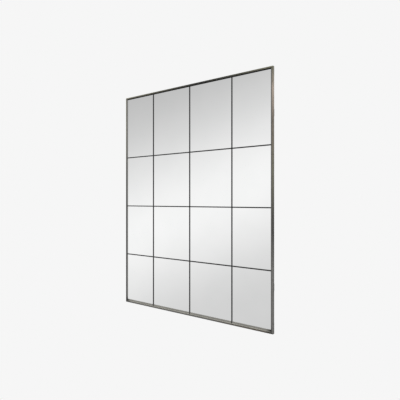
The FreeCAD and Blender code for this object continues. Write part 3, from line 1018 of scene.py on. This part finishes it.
@dataclass
class GlazingBars(SubAssembly):
    """Thin flat bars on the glass with softened edges, halved where they cross."""

    arris: float = 0.45 * MM
    lap_edge: float = 0.05 * MM
    lap_slope: float = 0.04 * MM
    fit_gap: float = 0.1 * MM
    arc_points: int = 5
    sill: str = "level_bar_sill"
    slot: str = "bar_metal"

    def section(
        self, half_width: float, front: np.ndarray, back: np.ndarray, arris: np.ndarray
    ) -> np.ndarray:
        """Rounded rectangles, one for each station along a bar.

        Each corner is a quarter circle of the station's edge radius about a centre that lies that radius in
        from both sides, and the four quarters follow each other round the section.

        Args:
            half_width: Half the bar's width.
            front: Each station's front depth.
            back: Each station's back depth.
            arris: Each station's edge radius.

        Returns:
            Offsets across the bar and depths, stations by points by 2.
        """
        quarter = np.linspace(0.0, QUARTER_TURN, self.arc_points)
        angle = (np.arange(4)[:, None] * QUARTER_TURN + quarter).ravel()
        side = np.repeat([1.0, -1.0, -1.0, 1.0], self.arc_points)
        to_back = np.repeat([True, True, False, False], self.arc_points)
        radius = arris[:, None]
        across = side * (half_width - radius) + radius * np.cos(angle)
        centre = np.where(to_back, back[:, None] - radius, front[:, None] + radius)
        return np.stack([across, centre + radius * np.sin(angle)], axis=-1)

    def stations(self, end: float, crossings: np.ndarray, half_lap: float) -> tuple[np.ndarray, np.ndarray]:
        """Places along a bar, and whether each lies in a lap.

        Args:
            end: Half the bar's length.
            crossings: Middles of the laps.
            half_lap: Half a lap's length.

        Returns:
            Places in rising order, and a mask of those in a lap.
        """
        offsets = np.array([-half_lap - self.lap_slope, -half_lap, half_lap, half_lap + self.lap_slope])
        places = np.concatenate([[-end], (np.sort(crossings)[:, None] + offsets).ravel(), [end]])
        in_lap = np.concatenate([[False], np.tile([False, True, True, False], len(crossings)), [False]])
        return places, in_lap

    def bar(self, node: str, grain: Grain, crossings: np.ndarray) -> bpy.types.Object:
        """One bar: a rounded section carried along a straight line, with half its depth gone in each lap.

        A level bar loses its front half, so its edges there are nearly sharp. An upright bar loses its back
        half.

        Args:
            node: The CAD node that the bar stands for.
            grain: The way that the bar runs.
            crossings: The places along it where others cross.

        Returns:
            The new piece.
        """
        low, high = corners(node)
        centre = (low + high) / 2.0
        along, across = grain.along, grain.across
        half_width = (high[across] - low[across]) / 2.0
        places, in_lap = self.stations(high[along], crossings, half_width + self.fit_gap)
        front_lap = in_lap & (grain is Grain.LEVEL)
        back_lap = in_lap & (grain is Grain.UPRIGHT)
        front = np.where(front_lap, centre[1], low[1])
        back = np.where(back_lap, centre[1], high[1])
        ring = self.section(half_width, front, back, np.where(front_lap, self.lap_edge, self.arris))
        grid = np.empty((*ring.shape[:2], 3))
        grid[..., along] = places[:, None]
        grid[..., across] = centre[across] + ring[..., 0]
        grid[..., 1] = ring[..., 1]
        finish = SILL_GREY if node == self.sill else BAR_GREY
        return stand_for(skin(f"{node}_soft", grid, False), node, FIXED_BODY, finish)

    def build(self) -> Pieces:
        """Make the upright bars, the level bars and the sill bar.

        Returns:
            The new pieces.
        """
        uprights, levels = named("upright_bar_"), named("level_bar_")
        columns = np.array([sum(corners(name))[0] / 2.0 for name in uprights])
        heights = np.array([sum(corners(name))[2] / 2.0 for name in levels])
        made = [self.bar(name, Grain.UPRIGHT, heights) for name in uprights]
        return made + [self.bar(name, Grain.LEVEL, columns) for name in levels]

    def dress(self) -> Pieces:
        """The bars are dressed as they are built."""
        return []


@dataclass
class GlassPack(SubAssembly):
    """The mirror sheet, its setting blocks and tapes, and the board behind it."""

    def build(self) -> Pieces:
        """The sheets' own shapes stay."""
        return []

    def dress(self) -> Pieces:
        """Silver, rubber, foam and fibre.

        Returns:
            The nodes' objects.
        """
        dressed = paint(["mirror_sheet"], SILVERED_GLASS)
        dressed += paint(named("setting_block_"), RUBBER)
        dressed += paint(named("mounting_tape_"), FOAM)
        return dressed + paint(["backing_board"], FIBREBOARD)


@dataclass
class BackIron(SubAssembly):
    """The cross rails, corner plates and screws on the back of the frame."""

    def build(self) -> Pieces:
        """The plates' and screws' own shapes stay."""
        return []

    def dress(self) -> Pieces:
        """Black rails, zinc plates and screws."""
        dressed = paint(["hanging_rail", "lower_rail"], BLACK_PAINT)
        return dressed + paint(named("corner_plate_", "rail_screws", "turn_button_screws"), ZINC_PLATE)


@dataclass
class RingHangers(SubAssembly):
    """Two strap hangers, each with a D of bent wire."""

    wire_radius: float = 1.75 * MM
    leg: float = 10.0 * MM
    corner: float = 4.0 * MM
    side: float = 8.0 * MM
    wire_points: int = 20
    bow_points: int = 48
    corner_points: int = 12
    slot: str = "zinc"

    def wire_line(self) -> tuple[np.ndarray, np.ndarray]:
        """The wire's middle line and its outward directions, in the ring's own upright plane.

        A straight leg, two small corner arcs, two short sides and one half circle as a bow: each arc's points
        are its centre plus its radius times the outward direction.

        Returns:
            Points and unit outward directions, each points by 2.
        """
        arcs = (
            ((self.leg, self.corner), self.corner, -QUARTER_TURN, 0.0, self.corner_points),
            ((0.0, self.side), self.leg + self.corner, 0.0, HALF_TURN, self.bow_points),
            ((-self.leg, self.corner), self.corner, HALF_TURN, 3.0 * QUARTER_TURN, self.corner_points),
        )
        points, directions = [], []
        for centre, radius, start, end, count in arcs:
            angle = np.linspace(start, end, count)
            direction = np.stack([np.cos(angle), np.sin(angle)], axis=-1)
            points.append(np.array(centre) + radius * direction)
            directions.append(direction)
        return np.concatenate(points), np.concatenate(directions)

    def ring(self, name: str) -> bpy.types.Object:
        """One ring: a circle carried along the wire's line.

        A point at angle a round the wire lies at the line plus the radius times cos a outwards and sin a in
        depth.

        Args:
            name: The ring's CAD node and body.

        Returns:
            The new piece.
        """
        line, direction = self.wire_line()
        angle = np.linspace(0.0, TURN, self.wire_points, endpoint=False)
        reach = self.wire_radius * np.cos(angle)
        grid = np.empty((len(line), self.wire_points, 3))
        grid[..., 0] = line[:, :1] + direction[:, :1] * reach
        grid[..., 1] = self.wire_radius * np.sin(angle)
        grid[..., 2] = line[:, 1:] + direction[:, 1:] * reach
        grid += pivot(f"{name}_swing")
        return stand_for(skin(f"{name}_wire", grid, True), name, name, ZINC_PLATE)

    def build(self) -> Pieces:
        """Make the two rings."""
        return [self.ring(name) for name in named("hanger_ring_")]

    def dress(self) -> Pieces:
        """Zinc on the straps and their screws."""
        return paint(named("hanger_strap_", "hanger_screws"), ZINC_PLATE)


@dataclass
class TurnButtons(SubAssembly):
    """Ten pressed turn buttons with rolled rims."""

    width: float = 7.0 * MM
    length: float = 36.0 * MM
    hole_radius: float = 1.6 * MM
    hole_edge: float = 0.2 * MM
    rim_radius: float = 0.5 * MM
    end_points: int = 18
    rim_points: int = 5
    slot: str = "zinc"

    def outline(self) -> tuple[np.ndarray, np.ndarray]:
        """The line that the outline keeps half a width from, and the outline's outward directions.

        The pivot is at the origin and the tip lies along the first coordinate: a half circle about the tip's
        middle, then a half circle about the pivot, joined by the straight sides.

        Returns:
            Line points and unit outward directions, each points by 2.
        """
        angle = np.linspace(-QUARTER_TURN, QUARTER_TURN, self.end_points)
        angle = np.concatenate([angle, angle + HALF_TURN])
        line = np.zeros((len(angle), 2))
        line[: self.end_points, 0] = self.length - self.width
        return line, np.stack([np.cos(angle), np.sin(angle)], axis=-1)

    def plate(self, thickness: float) -> np.ndarray:
        """The button's skin: a section carried round the outline.

        From the hole's edge the section runs along the back to the rim, round it on two quarter circles, and
        along the front to the hole. Rim points lie at the line plus half the width, less an inset, along the
        outward direction. Hole points are spread evenly round a circle, from half a step past the outline's
        first direction.

        Args:
            thickness: The plate's thickness.

        Returns:
            Points along the button, across it and in depth from its front, rows by columns by 3.
        """
        line, direction = self.outline()
        rim = line + direction * self.width / 2.0
        angle = (np.arange(len(rim)) + 0.5) * TURN / len(rim) - QUARTER_TURN
        towards = np.stack([np.cos(angle), np.sin(angle)], axis=-1)
        turn = np.linspace(0.0, QUARTER_TURN, self.rim_points)
        inset = self.rim_radius * (1.0 - np.sin(turn))
        drop = self.rim_radius * (1.0 - np.cos(turn))
        edge = self.hole_edge
        hole_radii = self.hole_radius + np.array([edge, 0.0, 0.0, edge])
        hole_depths = [0.0, edge, thickness - edge, thickness]
        rim_insets = np.concatenate([inset, inset[::-1]])
        hole_rows = hole_radii[:, None, None] * towards
        rim_rows = rim - rim_insets[:, None, None] * direction
        flat = np.concatenate([hole_rows, rim_rows])
        depths = np.concatenate([hole_depths, thickness - drop, drop[::-1]])
        return np.concatenate([flat, np.broadcast_to(depths[:, None, None], (*flat.shape[:2], 1))], axis=-1)

    def button(self, name: str) -> bpy.types.Object:
        """One button, turned so that its tip lies over the board.

        Args:
            name: The button's CAD node and body.

        Returns:
            The new piece.
        """
        low, high = corners(name)
        centre = pivot(f"{name}_pivot")
        tip = (low + high) / 2.0 - centre
        tip[1] = 0.0
        tip /= np.linalg.norm(tip)
        directions = np.array([tip, (-tip[2], 0.0, tip[0]), (0.0, 1.0, 0.0)])
        base = np.array([centre[0], low[1], centre[2]])
        grid = base + self.plate(high[1] - low[1]) @ directions
        return stand_for(skin(f"{name}_plate", grid, True), name, name, ZINC_PLATE)

    def build(self) -> Pieces:
        """Make the ten buttons."""
        return [self.button(name) for name in named("turn_button_") if not name.endswith("screws")]

    def dress(self) -> Pieces:
        """The buttons are dressed as they are built."""
        return []


@dataclass
class WallBumpers(SubAssembly):
    """Four moulded rubber feet with a dished face."""

    face_inset: float = 2.0 * MM
    rim_radius: float = 1.0 * MM
    dish_radius: float = 5.2 * MM
    dish_depth: float = 1.4 * MM
    hub_radius: float = 0.02 * MM
    round_points: int = 64
    skirt_points: int = 12
    rim_points: int = 7
    dish_points: int = 12
    slot: str = "bumper_rubber"

    def profile(self, foot: float, height: float) -> np.ndarray:
        """The foot's half section, from the middle of its base to the middle of its dish.

        A flat base, a skirt that eases in from the flared foot to the face, a quarter circle as the rim, the
        face, and a dish whose depth is a half cosine of the distance from the middle.

        Args:
            foot: The base's radius.
            height: The foot's height.

        Returns:
            Radii and depths from the base, points by 2.
        """
        face = foot - self.face_inset
        rise = np.linspace(0.0, 1.0, self.skirt_points)
        skirt = [face + self.face_inset * (1.0 - rise) ** 2, rise * (height - self.rim_radius)]
        turn = np.linspace(0.0, QUARTER_TURN, self.rim_points)[1:]
        rim = [
            face - self.rim_radius * (1.0 - np.cos(turn)),
            height - self.rim_radius * (1.0 - np.sin(turn)),
        ]
        inward = np.linspace(self.dish_radius, self.hub_radius, self.dish_points)
        sink = self.dish_depth * (1.0 + np.cos(inward / self.dish_radius * HALF_TURN)) / 2.0
        dish = [inward, height - sink]
        hub = [[self.hub_radius], [0.0]]
        return np.concatenate([hub, skirt, rim, dish], axis=1).T

    def bumper(self, name: str) -> bpy.types.Object:
        """One foot: its half section turned about the axis from the board to the wall.

        Args:
            name: The foot's CAD node.

        Returns:
            The new piece.
        """
        low, high = corners(name)
        centre = (low + high) / 2.0
        profile = self.profile((high[2] - low[2]) / 2.0, high[1] - low[1])
        angle = np.linspace(0.0, TURN, self.round_points, endpoint=False)
        grid = np.empty((len(profile), self.round_points, 3))
        grid[..., 0] = centre[0] + profile[:, :1] * np.cos(angle)
        grid[..., 1] = low[1] + profile[:, 1:]
        grid[..., 2] = centre[2] + profile[:, :1] * np.sin(angle)
        return stand_for(skin(f"{name}_foot", grid, False), name, FIXED_BODY, RUBBER)

    def build(self) -> Pieces:
        """Make the four feet."""
        return [self.bumper(name) for name in named("wall_bumper_")]

    def dress(self) -> Pieces:
        """The feet are dressed as they are built."""
        return []


@dataclass(frozen=True)
class SoftBox:
    """A lamp with a broad face that looks at the mirror's middle.

    One that isn't in_reflections lights the pieces, but doesn't show in what they reflect.
    """

    name: str
    place: Triple
    width: float
    height: float
    watts: float
    in_reflections: bool

    def build(self) -> None:
        """Add the lamp."""
        light = bpy.data.lights.new(self.name, "AREA")
        light.shape = "RECTANGLE"
        light.size = self.width
        light.size_y = self.height
        light.energy = self.watts
        made = bpy.data.objects.new(self.name, light)
        made.location = self.place
        made.rotation_euler = (-Vector(self.place)).to_track_quat("-Z", "Y").to_euler()
        made.visible_camera = False
        made.visible_glossy = self.in_reflections
        bpy.context.scene.collection.objects.link(made)


@dataclass
class Studio:
    """A pale floor and backdrop, soft boxes and the camera.

    The glows are places, from -1 to 1, and brightnesses. What lies in front of the mirror glows by its place
    along band_normal, and what lies behind it by its height.
    """

    eye: Triple = (1.6419, -2.0563, 0.0)
    heading: Triple = (-0.6078, 0.7941, 0.0)
    lens_mm: float = 36.25
    sensor_mm: float = 36.0
    backdrop: float = 0.9216
    floor_level: float = -1.35
    floor_radius: float = 9.0
    hub_radius: float = 0.09
    floor_points: int = 96
    band_normal: Triple = (-0.262, 0.268, 0.927)
    front_glow: tuple[tuple[float, float], ...] = (
        (-1.00, 0.30),
        (-0.62, 0.34),
        (-0.44, 0.64),
        (-0.33, 0.68),
        (-0.07, 0.975),
        (0.27, 0.535),
        (0.46, 0.74),
        (1.00, 1.00),
    )
    back_glow: tuple[tuple[float, float], ...] = (
        (-1.00, 0.48),
        (-0.30, 0.52),
        (-0.15, 0.54),
        (-0.085, 0.26),
        (-0.03, 0.46),
        (0.03, 0.68),
        (0.14, 0.72),
        (0.32, 0.74),
        (1.00, 1.00),
    )
    front_to_back: Step = Step(-0.15, 0.35)
    soft_boxes: tuple[SoftBox, ...] = (
        SoftBox("front_soft_box", (-0.5, -1.7, 2.5), 2.4, 1.4, 55.0, in_reflections=False),
        SoftBox("back_soft_box", (-0.4, 1.9, 2.8), 4.2, 3.2, 80.0, in_reflections=True),
    )

    @property
    def pale(self) -> tuple[float, ...]:
        """The floor's and backdrop's colour."""
        return (self.backdrop,) * 3 + (1.0,)

    def floor(self) -> None:
        """A round pale floor: two rings of points about the middle, with the inner one filled."""
        angle = np.linspace(0.0, TURN, self.floor_points, endpoint=False)
        radius = np.array([[self.hub_radius], [self.floor_radius]])
        rings = np.broadcast_arrays(radius * np.cos(angle), radius * np.sin(angle), self.floor_level)
        faces = wound_quads(2, self.floor_points, False).tolist() + [list(range(self.floor_points))]
        mesh = bpy.data.meshes.new("pale_floor")
        mesh.from_pydata(np.stack(rings, axis=-1).reshape(-1, 3).tolist(), [], faces)
        material = bpy.data.materials.new("pale_floor")
        material.use_nodes = True
        graph = Graph(material.node_tree)
        glow = graph.node("ShaderNodeEmission", {"Color": self.pale, "Strength": 1.0})
        graph.node("ShaderNodeOutputMaterial", {"Surface": glow.outputs[0]})
        mesh.materials.append(material)
        made = bpy.data.objects.new("pale_floor", mesh)
        made.visible_glossy = False
        bpy.context.scene.collection.objects.link(made)

    def world(self) -> None:
        """A flat pale backdrop for the camera, and soft light and dark bands for what reflects."""
        made = bpy.data.worlds.new("studio")
        made.use_nodes = True
        graph = Graph(made.node_tree)
        way = graph.node("ShaderNodeTexCoord").outputs["Generated"]
        _, depth, rise = graph.parts(way)
        glows = []
        for value, stops in ((graph.dot(way, self.band_normal), self.front_glow), (rise, self.back_glow)):
            tones = [((at + 1.0) / 2.0, (level,) * 3) for at, level in stops]
            glows.append(graph.ramp(graph.share(value, -1.0, 1.0), tones, Easing.SOFT))
        colour = graph.mix(graph.fade(depth, self.front_to_back), *glows)
        soft = graph.node("ShaderNodeBackground", {"Color": colour, "Strength": 1.0})
        flat = graph.node("ShaderNodeBackground", {"Color": self.pale, "Strength": 1.0})
        seen = graph.node("ShaderNodeLightPath").outputs["Is Camera Ray"]
        both = graph.node("ShaderNodeMixShader", {0: seen, 1: soft.outputs[0], 2: flat.outputs[0]})
        graph.node("ShaderNodeOutputWorld", {"Surface": both.outputs[0]})
        bpy.context.scene.world = made

    def camera(self) -> None:
        """The camera at the photograph's place, level with the mirror's middle."""
        lens = bpy.data.cameras.new("photo_camera")
        lens.sensor_fit = "HORIZONTAL"
        lens.sensor_width = self.sensor_mm
        lens.lens = self.lens_mm
        made = bpy.data.objects.new("photo_camera", lens)
        made.location = self.eye
        made.rotation_euler = Vector(self.heading).to_track_quat("-Z", "Y").to_euler()
        bpy.context.scene.collection.objects.link(made)
        bpy.context.scene.camera = made

    def build(self) -> None:
        """Set up floor, backdrop, lights, camera and plain colour."""
        self.floor()
        self.world()
        for soft_box in self.soft_boxes:
            soft_box.build()
        self.camera()
        bpy.context.scene.view_settings.view_transform = "Standard"
        bpy.context.scene.view_settings.look = "None"


def main() -> None:
    """Build and dress every sub-assembly, then the studio."""
    logging.basicConfig(level=logging.INFO, format="%(message)s")
    kinds = (OuterFrame, GlazingBars, GlassPack, BackIron, RingHangers, TurnButtons, WallBumpers)
    for group in (kind() for kind in kinds):
        for piece in group.build():
            LOG.info("%s built %s with %d faces", type(group).__name__, piece.name, len(piece.data.polygons))
        for piece in group.dress():
            LOG.info("%s dressed %s", type(group).__name__, piece.name)
    Studio().build()


if __name__ == "__main__":
    main()
